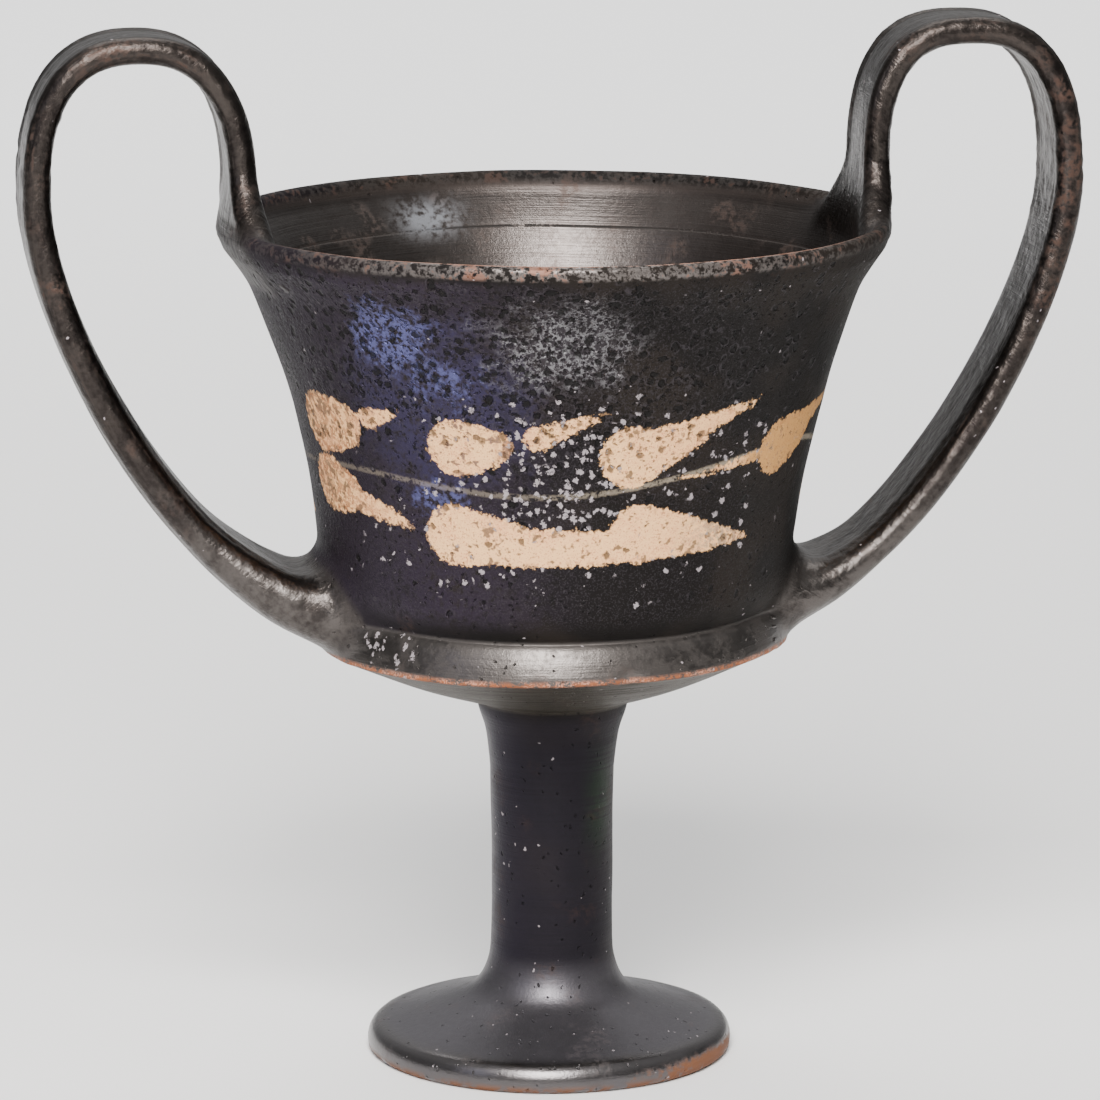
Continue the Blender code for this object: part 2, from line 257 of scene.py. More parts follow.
# Green on the stem's right: iridescent gloss, partly painted reflection
STEM_GREEN_SHEEN_AND_REFLECTION = (0.0180, 0.0270, 0.0190, 1.0, 0.46)
FOOT_GLOSS = (0.1080, 0.1030, 0.1130, 0.90, 0.38)
FOOT_EDGE_GLOSS = (0.1150, 0.1080, 0.1080, 1.0, 0.26)
STRAP_GLOSS = (0.0450, 0.0385, 0.0350, 1.0, 0.31)
STRAP_DULL = (0.0210, 0.0175, 0.0165, 1.0, 0.42)
# Bright speckles on the lip's face: lustrous gloss, partly painted glints
LIP_GLOSS_AND_GLINTS = (0.1400, 0.1250, 0.1180, 1.0, 0.30)
WORN_BROWN = (0.0480, 0.0260, 0.0190, 0.0, 0.60)
WORN_CLAY = (0.2300, 0.0780, 0.0340, 0.0, 0.65)
FOOT_CLAY = (0.1500, 0.0650, 0.0340, 0.0, 0.60)
# Pale clay, which on the lip's crest and the ridge partly stands for painted highlight
PALE_CLAY_AND_HIGHLIGHT = (0.5000, 0.2700, 0.1950, 0.0, 0.50)
# Matt black in the pits: lost gloss, and painted shade in their hollows
PIT_SHADE = (0.0040, 0.0035, 0.0035, 0.0, 0.55)
CREAM = (0.7000, 0.4100, 0.1900, 0.0, 0.75)
CREAM_PINK = (0.6000, 0.2900, 0.1500, 0.0, 0.75)
OCHRE = (0.4200, 0.2200, 0.0750, 0.0, 0.70)
VINE_GREY = (0.2200, 0.1850, 0.1400, 0.0, 0.70)
SPECK_WHITE = (0.3200, 0.2850, 0.3000, 0.0, 0.60)
MATT_SHINE = 0.09
FLOOR_WHITE = (0.860, 0.860, 0.860, 1.0)
FLOOR_HALF = 9.0

# Camera of the photograph, and the softboxes: azimuth from -Y towards +X and elevation in degrees,
# distance, width, height, watts and colour. They look at a place on the axis
CAMERA_PLACE = (-0.2128, -1.3139, 0.3825)
CAMERA_TURN = (78.52, 0.0, -9.2)
CAMERA_LENS = 203.0
CAMERA_SENSOR = 36.0
CAMERA_SHIFT = -0.0029
LIT_HEIGHT = 0.12
SOFTBOXES = {
    "front softbox": (-13.0, 39.0, 1.4, 0.60, 0.90, 54.0, (1.0, 0.97, 0.94)),
    "back softbox": (175.0, 66.0, 1.6, 1.3, 0.8, 14.0, (1.0, 0.99, 0.97)),
    "left softbox": (-57.0, 22.0, 1.3, 0.30, 0.9, 1.5, (0.78, 0.80, 1.0)),
    "right softbox": (86.0, 18.0, 1.3, 0.20, 0.9, 0.12, (0.94, 1.0, 0.92)),
}
FLOOR_PANEL = (180.0, 40.0, 3.2, 4.0, 3.0, 60.0, (1.0, 1.0, 1.0))
PANEL_SPREAD = math.radians(70.0)

# The surround's strength, by how far up and how far behind the cup one looks
OVERHEAD = {"From Min": 0.15, "From Max": 0.70, "To Min": 0.12, "To Max": 0.55}
BEHIND = {"From Min": 0.40, "To Max": 0.40}


def through(points, step):
    """Smooth curve through the points, cut into even steps of about the given length."""
    pts = [np.array(p, dtype=float) for p in points]
    padded = [2 * pts[0] - pts[1]] + pts + [2 * pts[-1] - pts[-2]]
    fine = []
    for a, b, c, d in zip(padded, padded[1:], padded[2:], padded[3:]):
        for t in np.arange(0.0, 1.0, 1 / 24):
            fine.append(0.5 * (2 * b + (c - a) * t + (2 * a - 5 * b + 4 * c - d) * t ** 2
                               + (3 * b - a - 3 * c + d) * t ** 3))
    fine.append(pts[-1])
    return even(np.array(fine), step)


def even(line, step):
    """The same line cut into even steps of about the given length."""
    runs = np.concatenate([[0.0], np.cumsum(np.linalg.norm(np.diff(line, axis=0), axis=1))])
    count = max(1, round(runs[-1] / step))
    places = np.linspace(0.0, runs[-1], count + 1)
    return np.stack([np.interp(places, runs, line[:, k]) for k in range(line.shape[1])], axis=1)


def inner_wall():
    """Inside of the wall from the lip down, a wall's thickness in from the outside."""
    outer = through(WALL, INSIDE_ROW)
    along = np.gradient(outer, axis=0)
    along /= np.linalg.norm(along, axis=1)[:, None]
    inward = np.stack([along[:, 1], -along[:, 0]], axis=1)
    depth = (outer[0, 1] - outer[:, 1]) / LIP_TAPER
    thickness = LIP_THICKNESS + (WALL_THICKNESS - LIP_THICKNESS) * np.clip(depth, 0.0, 1.0)
    inner = outer + inward * thickness[:, None]
    inner = inner[(inner[:, 1] < LIP[0][1] - INSIDE_ROW) & (inner[:, 1] > FLOOR[-1][1] + INSIDE_ROW)]
    return inner


def vessel_outline():
    """Half section of the vessel from the middle of its floor over the lip down to the recess."""
    inside = np.concatenate([through(FLOOR, INSIDE_ROW)[:-1], inner_wall()[::-1]])
    stretches = [inside, through(LIP, FINE_ROW)[:-1], through(WALL, OUTSIDE_ROW)[:-1],
                 through(LEDGE, FINE_ROW)[:-1], through(UNDERSIDE, OUTSIDE_ROW)[:-1],
                 through(STEM, OUTSIDE_ROW)[:-1], through(FOOT, OUTSIDE_ROW)[:-1],
                 through(FOOT_EDGE, FINE_ROW), through(RECESS, INSIDE_ROW)]
    return np.concatenate(stretches)


def new_object(name, verts, edges, faces):
    mesh = bpy.data.meshes.new(name)
    mesh.from_pydata([tuple(v) for v in np.asarray(verts, dtype=float)], edges, faces)
    obj = bpy.data.objects.new(name, mesh)
    bpy.context.scene.collection.objects.link(obj)
    return obj


def turning_tree():
    """Geometry Nodes that turn a profile in the XZ plane round the Z axis."""
    tree = bpy.data.node_groups.new("turned on the wheel", "GeometryNodeTree")
    for name, kind in (("Profile", "Geometry"), ("Segments", "Int"), ("Axis Gap", "Float"),
                       ("Weld", "Float"), ("Material", "Material")):
        tree.interface.new_socket(name, in_out="INPUT", socket_type="NodeSocket" + kind)
    tree.interface.new_socket("Vessel", in_out="OUTPUT", socket_type="NodeSocketGeometry")
    nodes, link = tree.nodes, tree.links.new
    given = nodes.new("NodeGroupInput")
    outward = nodes.new("ShaderNodeCombineXYZ")
    away = nodes.new("ShaderNodeMath")
    away.operation = "MULTIPLY"
    away.inputs[1].default_value = -1.0
    lay = nodes.new("GeometryNodeTransform")
    lay.inputs["Rotation"].default_value = (math.pi / 2, 0.0, 0.0)
    line = nodes.new("GeometryNodeMeshToCurve")
    circle = nodes.new("GeometryNodeCurvePrimitiveCircle")
    sweep = nodes.new("GeometryNodeCurveToMesh")
    weld = nodes.new("GeometryNodeMergeByDistance")
    smooth = nodes.new("GeometryNodeSetShadeSmooth")
    real = nodes.new("GeometryNodeRealizeInstances")
    paint = nodes.new("GeometryNodeSetMaterial")
    result = nodes.new("NodeGroupOutput")
    link(given.outputs["Axis Gap"], away.inputs[0])
    link(away.outputs[0], outward.inputs["X"])
    link(given.outputs["Profile"], lay.inputs["Geometry"])
    link(outward.outputs[0], lay.inputs["Translation"])
    link(lay.outputs[0], line.inputs["Mesh"])
    link(given.outputs["Segments"], circle.inputs["Resolution"])
    link(given.outputs["Axis Gap"], circle.inputs["Radius"])
    link(circle.outputs[0], sweep.inputs["Curve"])
    link(line.outputs[0], sweep.inputs["Profile Curve"])
    link(sweep.outputs[0], weld.inputs["Geometry"])
    link(given.outputs["Weld"], weld.inputs["Distance"])
    link(weld.outputs[0], smooth.inputs["Geometry"])
    link(smooth.outputs[0], real.inputs["Geometry"])
    link(real.outputs[0], paint.inputs["Geometry"])
    link(given.outputs["Material"], paint.inputs["Material"])
    link(paint.outputs[0], result.inputs[0])
    return tree


def set_inputs(modifier, tree, values):
    """Set a Geometry Nodes modifier's inputs by the names of its sockets."""
    for item in tree.interface.items_tree:
        if item.name in values:
            modifier[item.identifier] = values[item.name]


def plain_mesh(obj, name):
    """Plain mesh of what an object's modifiers make. The object itself is removed."""
    evaluated = obj.evaluated_get(bpy.context.evaluated_depsgraph_get())
    mesh = bpy.data.meshes.new_from_object(evaluated)
    mesh.name = name
    bpy.data.objects.remove(obj, do_unlink=True)
    piece = bpy.data.objects.new(name, mesh)
    bpy.context.scene.collection.objects.link(piece)
    return piece


def weld(obj, distance, outwards):
    """Weld an object's points that are closer than the distance, and turn its faces outwards if asked."""
    shape = bmesh.new()
    shape.from_mesh(obj.data)
    bmesh.ops.remove_doubles(shape, verts=shape.verts, dist=distance)
    if outwards:
        bmesh.ops.recalc_face_normals(shape, faces=shape.faces)
    shape.to_mesh(obj.data)
    shape.free()


def make_vessel(material):
    """Bowl, stem and foot, turned from their outline by Geometry Nodes."""
    outline = vessel_outline()
    verts = [(radius, 0.0, height) for radius, height in outline]
    edges = [(i, i + 1) for i in range(len(verts) - 1)]
    vessel = new_object("vessel outline", verts, edges, [])
    tree = turning_tree()
    modifier = vessel.modifiers.new("turned", "NODES")
    modifier.node_group = tree
    set_inputs(modifier, tree, {"Segments": TURN_SEGMENTS, "Axis Gap": AXIS_GAP, "Weld": AXIS_WELD,
                                "Material": material})
    vessel = plain_mesh(vessel, "vessel")
    weld(vessel, DOUBLES_WELD, True)
    return vessel


def wall_middles(heights):
    """Distance from the axis to the middle of the bowl's wall, at one height or at each of several."""
    outer = through(WALL, OUTSIDE_ROW)[::-1]
    return np.interp(heights, outer[:, 1], outer[:, 0]) - WALL_THICKNESS / 2


def handle_path(handle):
    """Middle line of a strap as (distance from the axis, height), from the lip to the ledge."""
    spring = LIP_HEIGHT + HANDLE_SPRING
    leg = handle["leg"]
    lowest = LIP_HEIGHT - RIM_ROOT_DEPTH
    under_lip = LIP_HEIGHT - RIM_ROOT_BEND * RIM_ROOT_DEPTH
    start = through([(wall_middles(lowest), lowest), (wall_middles(under_lip) - RIM_ROOT_INWARD, under_lip),
                     (leg, spring)], STATION_STEP)
    angles = np.linspace(math.pi, 0.0, ARCH_POINTS)
    power = np.where(angles > math.pi / 2, 2 / handle["inner_shoulder"], 2 / handle["outer_shoulder"])
    across = np.sign(np.cos(angles)) * np.abs(np.cos(angles)) ** power
    up = np.sin(np.clip(angles, 0.0, math.pi)) ** power
    arch = np.stack([(leg + HANDLE_REACH) / 2 + (HANDLE_REACH - leg) / 2 * across,
                     spring + handle["rise"] * np.abs(up)], axis=1)
    outer_end = np.array((HANDLE_REACH, spring))
    first = outer_end - np.array((0.0, handle["drop"]))
    root = np.array((LEDGE_ROOT_RADIUS, handle["root_height"]))
    angle = math.radians(handle["sweep_angle"])
    second = root + handle["sweep"] * np.array((math.cos(angle), math.sin(angle)))
    t = np.linspace(0.0, 1.0, LOWER_POINTS)[:, None]
    run = ((1 - t) ** 3 * outer_end + 3 * (1 - t) ** 2 * t * first + 3 * (1 - t) * t ** 2 * second
           + t ** 3 * root)
    return even(np.concatenate([start, arch[1:], run[1:]]), STATION_STEP)


def ease(value):
    """Smooth step from 0 to 1, for numbers and arrays."""
    value = np.clip(value, 0.0, 1.0)
    return value * value * (3 - 2 * value)


def eased_from(values, rise):
    """0 up to the first number of the rise, and smoothly 1 over the second."""
    return ease((values - rise[0]) / rise[1])


def bump(values, centre, reach):
    """1 at the centre, falling smoothly to 0 at the given reach on both sides."""
    return ease(1 - np.abs(values - centre) / reach)


def strap_section(width, thickness, sunk):
    """Section as (across, out): a roll along each edge, and faces that are sunk and grooved, or swell."""
    half = width / 2
    roll = max(EDGE_ROLL, thickness / 2)
    turn = np.linspace(0.0, math.pi / 2, EDGE_POINTS)
    edge = np.stack([half - roll + roll * np.cos(turn), thickness / 2 * np.sin(turn)], axis=1)
    across = np.linspace(half - roll, 0.0, FACE_POINTS)[1:]
    past_roll = (half - roll - across) / FACE_SLOPE
    level = 1 - sunk * FACE_SINK * ease(past_roll)
    level -= max(sunk, 0.0) * GROOVE_SINK * np.exp(-((past_roll - 1.0) / GROOVE_WIDTH) ** 2)
    face = np.stack([across, thickness / 2 * level], axis=1)
    quarter = np.concatenate([edge, face])
    top = np.concatenate([quarter, quarter[-2::-1] * (-1, 1)])
    return np.concatenate([top, top[-2:0:-1] * (1, -1)])


def strap_place(handle, run, total):
    """Section of a strap at a distance along it, and its shares of either root and of the ledge root."""
    rim_root = 1 - ease((run - RIM_ROOT_START) / RIM_ROOT_LENGTH)
    ledge_root = ease(1 - (total - run) / handle["root_length"])
    lower = ease((run - LOWER_FROM * total) / (LOWER_OVER * total))
    width = (STRAP_WIDTH + (LOWER_WIDTH - STRAP_WIDTH) * lower
             + (RIM_ROOT_WIDTH - STRAP_WIDTH) * rim_root
             + (LEDGE_ROOT_WIDTH - LOWER_WIDTH) * ledge_root)
    thickness = (STRAP_THICKNESS + (handle["lower_thickness"] - STRAP_THICKNESS) * lower
                 + (RIM_ROOT_THICKNESS - STRAP_THICKNESS) * rim_root
                 + (LEDGE_ROOT_THICKNESS - handle["lower_thickness"]) * ledge_root)
    thickness += (WALL_THICKNESS / 2 - thickness) * (1 - ease(run / RIM_ROOT_DEPTH))
    root = max(rim_root, ledge_root)
    return strap_section(width, thickness, (1 - root) * (1 - LOWER_SWELL * lower)), root, ledge_root


def loft(name, rings):
    """Closed object through rings of points."""
    count = len(rings[0])
    last = (len(rings) - 1) * count
    faces = []
    for first in range(0, last, count):
        for k in range(count):
            after = (k + 1) % count
            faces.append((first + k, first + after, first + count + after, first + count + k))
    faces.append(tuple(range(count))[::-1])
    faces.append(tuple(range(last, last + count)))
    return new_object(name, np.concatenate(rings), [], faces)


def make_handle(name, handle, material):
    """One strap handle, lofted along its path. At each root it widens and follows the wall's curve."""
    path = handle_path(handle)
    total = STATION_STEP * (len(path) - 1)
    rings = []
    for i, point in enumerate(path):
        section, root, ledge_root = strap_place(handle, STATION_STEP * i, total)
        along = path[min(i + 1, len(path) - 1)] - path[max(i - 1, 0)]
        along = along / np.linalg.norm(along)
        along = along + ledge_root * (np.array((-1.0, 0.0)) - along)
        outward = np.array((-along[1], along[0])) / np.linalg.norm(along)
        aside = section[:, 0]
        out, up = (point + section[:, 1:] * outward).T
        reach = np.maximum(out, np.abs(aside) * WRAP_LIMIT)
        wrap = root * (reach - np.sqrt(reach ** 2 - aside ** 2))
        rings.append(np.stack([handle["side"] * (out - wrap), aside, up], axis=1))
    obj = loft(name, rings)
    obj.data.materials.append(material)
    weld(obj, DOUBLES_WELD, True)
    return obj


def solid_field(objects):
    """Search tree over the faces of closed meshes."""
    verts, polygons = [], []
    for obj in objects:
        base = len(verts)
        verts += [v.co.copy() for v in obj.data.vertices]
        polygons += [[base + i for i in p.vertices] for p in obj.data.polygons]
    return BVHTree.FromPolygons(verts, polygons)


def distances(field, places):
    """Signed distance to a solid and the direction straight away from it, for each place."""
    far = np.zeros(len(places))
    away = np.zeros((len(places), 3))
    for i, place in enumerate(places):
        nearest, normal, _, gap = field.find_nearest(Vector(place))
        apart = Vector(place) - nearest
        side = 1.0 if apart.dot(normal) >= 0 else -1.0
        far[i] = side * gap
        away[i] = (normal * 0.0003 + apart * side).normalized()
    return far, away


def from_seam(places, seam):
    """Distance of each place from the nearest point of a seam."""
    tree = KDTree(len(seam))
    for i, point in enumerate(seam):
        tree.insert(point, i)
    tree.balance()
    return np.array([tree.find(place)[2] for place in places])


def blend_reach(places):
    """How far from the seam the clay is smoothed at each place: in the bowl, on lip, ledge or ridge."""
    height = places[:, 2]
    radius = np.hypot(places[:, 0], places[:, 1])
    within = ease((wall_middles(height) - radius) / WALL_FADE + 0.5)
    reach = LIP_REACH + (RIM_REACH - LIP_REACH) * within
    reach += (LEDGE_REACH - reach) * ease((MIDDLE_HEIGHT - height) / MIDDLE_FADE)
    return RIDGE_REACH + (reach - RIDGE_REACH) * ease((height - RIDGE_HEIGHT) / RIDGE_FADE)


def drawn_to_union(places, fillet, vessel_field, handle_field):
    """Places drawn onto the smooth union of vessel and handles, which fills corners as far as the fillet."""
    for _ in range(BLEND_ROUNDS):
        a, away_a = distances(vessel_field, places)
        b, away_b = distances(handle_field, places)
        corner = np.clip(1 - (away_a * away_b).sum(axis=1), 0.0, 1.0)
        share = np.clip(1 - np.abs(a - b) / np.maximum(fillet * corner, 1e-6), 0.0, 1.0)
        level = np.minimum(a, b) - share ** 2 * fillet * corner / 4
        weight = np.where(a < b, share / 2, 1 - share / 2)[:, None]
        slope = away_a * (1 - weight) + away_b * weight
        steep = np.maximum((slope ** 2).sum(axis=1), LEAST_SLOPE)
        places = places - slope * (level / steep)[:, None]
    return places


def smooth_joints(piece, vessel_field, handle_field):
    """Draw the surface near the seams out to a smooth union of vessel and handles, then relax it.
    Returns how much each point of the piece belongs to a strap, from 0 to 1."""
    mesh = piece.data
    verts = np.array([v.co[:] for v in mesh.vertices])
    far_out = np.hypot(verts[:, 0], verts[:, 1]) > JOINT_RADIUS
    near = np.nonzero(far_out & (np.abs(verts[:, 1]) < JOINT_ASIDE) & (verts[:, 2] > JOINT_HEIGHT))[0]
    places = verts[near]
    to_vessel, _ = distances(vessel_field, places)
    to_handle, _ = distances(handle_field, places)
    strap = np.zeros(len(verts))
    strap[near] = ease(0.5 + (to_vessel - to_handle) / STRAP_FADE)
    on_seam = (np.abs(to_vessel) < SEAM_GAP) & (np.abs(to_handle) < SEAM_GAP)
    reach = blend_reach(places)
    nearness = ease(1 - from_seam(places, places[on_seam]) / reach)
    in_bowl = (inside_share(places) > 0.5) & (places[:, 2] < MIDDLE_HEIGHT)
    keep = (nearness > 0) & ~in_bowl
    chosen = near[keep]
    drawn = drawn_to_union(places[keep], (reach * nearness)[keep], vessel_field, handle_field)
    shift = np.zeros((len(verts), 3))
    shift[chosen] = drawn - verts[chosen]
    finished = verts + evened(mesh, shift, 1.0, EVENING_ROUNDS)
    share = np.zeros((len(verts), 1))
    share[chosen, 0] = nearness[keep]
    finished = evened(mesh, finished, share, RELAX_ROUNDS)
    mesh.vertices.foreach_set("co", finished.ravel())
    return strap


def evened(mesh, values, share, rounds):
    """Average the values of each point with its neighbours' a few times, as far as the share says."""
    pairs = np.array([e.vertices[:] for e in mesh.edges])
    degree = np.bincount(pairs.ravel(), minlength=len(values))[:, None]
    for _ in range(rounds):
        total = np.zeros_like(values)
        np.add.at(total, pairs[:, 0], values[pairs[:, 1]])
        np.add.at(total, pairs[:, 1], values[pairs[:, 0]])
        values = values + RELAX_STEP * share * (total / np.maximum(degree, 1) - values)
    return values


def hand_made(places):
    """Where each point ends up once the axis wanders, the ledge leans and the clay is uneven."""
    x, y, z = places.T
    radius = np.hypot(x, y)
    heights, drifts = zip(*AXIS_DRIFT)
    level = np.interp(z, heights, drifts)
    moved = places.copy()
    moved[:, 0] += level * (1 - ease((radius - DRIFT_RADIUS) / DRIFT_FADE))
    lean = 1 - ease(np.abs(z - RIDGE_HEIGHT) / LEAN_REACH)
    moved[:, 2] += lean * x * math.tan(LEDGE_LEAN)
    above = ease(z / LEVEL_HEIGHT)
    for i, place in enumerate(places):
        spot = Vector(place) * WOBBLE_SCALE
        wave = noise.noise(spot) + 0.4 * noise.noise(spot * 2.7)
        outward = Vector((place[0], place[1], 0.0)).normalized()
        moved[i, :2] += np.array(outward[:2]) * wave * WOBBLE
        moved[i, 2] += noise.noise(spot + Vector((9.0, 4.0, 2.0))) * WOBBLE * above[i]
    return moved


def chipped(places):
    """Small losses: a nibbled ridge and lip, and a few chips."""
    radius = np.hypot(places[:, 0], places[:, 1])
    ridge = bump(places[:, 2], RIDGE_HEIGHT, RIDGE_BAND) * eased_from(radius, NIBBLED_RIDGE)
    lip = eased_from(places[:, 2], NIBBLED_TOP) * eased_from(radius, NIBBLED_LIP)
    moved = places.copy()
    for i in np.nonzero((ridge > 0) | (lip > 0))[0]:
        spot = Vector(places[i])
        bite = max(0.0, noise.noise(spot * 420.0)) + 0.6 * max(0.0, noise.noise(spot * 1100.0))
        depth = (RIDGE_NIBBLE * ridge[i] + LIP_NIBBLE * lip[i]) * bite
        moved[i, :2] -= places[i, :2] / radius[i] * depth
    for chip in CHIPS:
        angle = math.radians(chip["angle"])
        outward = np.array((math.sin(angle), -math.cos(angle)))
        centre = np.array((*outward * chip["radius"], chip["height"]))
        gap = np.linalg.norm(places - centre, axis=1)
        sink = chip["depth"] * ease(1 - gap / chip["size"])
        moved[:, :2] -= places[:, :2] / np.maximum(radius, MM)[:, None] * sink[:, None]
    return moved


def joined(vessel, handles, name):
    """Vessel and handles as one closed piece. The handles' own objects are removed."""
    for handle in handles:
        union = vessel.modifiers.new(handle.name, "BOOLEAN")
        union.operation = "UNION"
        union.solver = "MANIFOLD"
        union.object = handle
    piece = plain_mesh(vessel, name)
    for handle in handles:
        bpy.data.objects.remove(handle, do_unlink=True)
    weld(piece, SEAM_WELD, False)
    return piece


def make_kantharos(material, box):
    """The whole cup as one closed mesh, with its place before the hand's work kept for the paint."""
    vessel = make_vessel(material)
    handles = [make_handle("left handle", LEFT_HANDLE, material),
               make_handle("right handle", RIGHT_HANDLE, material)]
    vessel_field = solid_field([vessel])
    handle_field = solid_field(handles)
    piece = joined(vessel, handles, "kantharos_surface")
    strap = smooth_joints(piece, vessel_field, handle_field)
    places = np.array([v.co[:] for v in piece.data.vertices])
    keep_attribute(piece.data, "place", "FLOAT_VECTOR", places / MM)
    keep_attribute(piece.data, "strap", "FLOAT", strap)
    keep_attribute(piece.data, "inside", "FLOAT", inside_share(places))
    for name, values in (*painted_band(places / MM), *patches(places / MM)):
        keep_attribute(piece.data, name, "FLOAT", values)
    finished = hand_made(chipped(places))
    low, high = np.array(box[0]), np.array(box[1])
    piece.data.vertices.foreach_set("co", np.clip(finished, low, high).ravel())
    piece.data.polygons.foreach_set("use_smooth", [True] * len(piece.data.polygons))
    piece.data.update()
    return piece


def inside_share(places):
    """1 on the inside of the bowl, 0 outside."""
    radius = np.hypot(places[:, 0], places[:, 1])
    floor = through(FLOOR, INSIDE_ROW)
    above_floor = places[:, 2] > np.interp(radius, floor[:, 0], floor[:, 1]) - FLOOR_MARGIN
    return ((radius < wall_middles(places[:, 2])) & above_floor & (places[:, 2] < LIP_HEIGHT)).astype(float)


def stroke(along, up, shape):
    """Millimetres from the edge of a stroke, less than 0 on it. Its round base narrows to a tip."""
    base_along, base_up, radius, length, angle, narrowing = shape
    c, s = math.cos(math.radians(angle)), math.sin(math.radians(angle))
    right, above = along - base_along, up - base_up
    forward, aside = right * c + above * s, above * c - right * s
    share = np.clip(forward / length, 0.0, 1.0)
    return np.hypot(forward - share * length, aside) - radius * (1 - share) ** narrowing


def painted_band(places):
    """Millimetres from the edge of the nearest painted stroke, and up from the vine between the leaves."""
    x, y, z = places.T
    along = np.arctan2(x, -y) * BAND_RADIUS
    edges = [stroke(along, z, shape) for shape in UPPER_BLOBS + UPPER_TAILS + LOWER_STROKES]
    behind = (along - BACK_START) % (2 * math.pi * BAND_RADIUS)
    past = OFF_THE_BAND * (behind > BACK_END - BACK_START)
    place = behind % ((BACK_END - BACK_START) / BACK_REPEATS)
    edges += [stroke(place, z, shape) + past for shape in BACK_STROKES]
    course = VINE_HEIGHT
    for waves, height, phase in VINE_WAVES:
        course = course + height * np.sin(along * waves / BAND_RADIUS + phase)
    return ("leaf_edge", np.min(edges, axis=0)), ("above_vine", z - course)


def patch(angle, z, shape):
    """A patch on the vessel: its strength in the middle, falling smoothly to 0 at its reach."""
    around, reach_around, height, reach_up, strength = shape
    return bump(angle, around, reach_around) * bump(z, height, reach_up) * strength


def patches(places):
    """How strong each patch of sheen, pits, flakes and wear is at each place, by its name."""
    x, y, z = places.T
    angle = np.arctan2(x, -y)
    ledge_flakes = bump(x, *LEDGE_FLAKES[0]) * bump(y, *LEDGE_FLAKES[1]) * bump(z, *LEDGE_FLAKES[2])
    flakes = np.max([patch(angle, z, shape) for shape in FLAKES] + [ledge_flakes], axis=0)
    plates = np.max([patch(angle, z, shape) for shape in UPPER_PLATES], axis=0)
    return (("leftward", bump(angle, *LEFTWARD)), ("toward_front", bump(angle, *TOWARD_FRONT)),
            ("pitted", ease((z - PITTED_FROM) / PITTED_OVER) * bump(angle, *PITTED)),
            ("blue_haze", patch(angle, z, BLUE_HAZE)),
            ("blue_plates", plates + patch(angle, z, LOWER_PLATES)),
            ("silver", patch(angle, z, SILVER)), ("flakes", flakes), ("green", patch(angle, z, GREEN)),
            ("foot_wear", bump(angle, *FOOT_WEAR)))


def keep_attribute(mesh, name, kind, values):
    """Store values on the points of a mesh for its material."""
    attribute = mesh.attributes.new(name, kind, "POINT")
    attribute.data.foreach_set("vector" if kind == "FLOAT_VECTOR" else "value", np.asarray(values).ravel())


class Value:
    """A number in a material. Arithmetic on it adds Math nodes."""

    def __init__(self, net, socket):
        self.net = net
        self.socket = socket

    def __add__(self, other):
        return self.net.math("ADD", self, other)

    def __sub__(self, other):
        return self.net.math("SUBTRACT", self, other)

    def __mul__(self, other):
        return self.net.math("MULTIPLY", self, other)

    def __neg__(self):
        return self.net.math("MULTIPLY", self, -1.0)

    def __rsub__(self, other):
        return self.net.math("SUBTRACT", other, self)

    __radd__ = __add__
    __rmul__ = __mul__


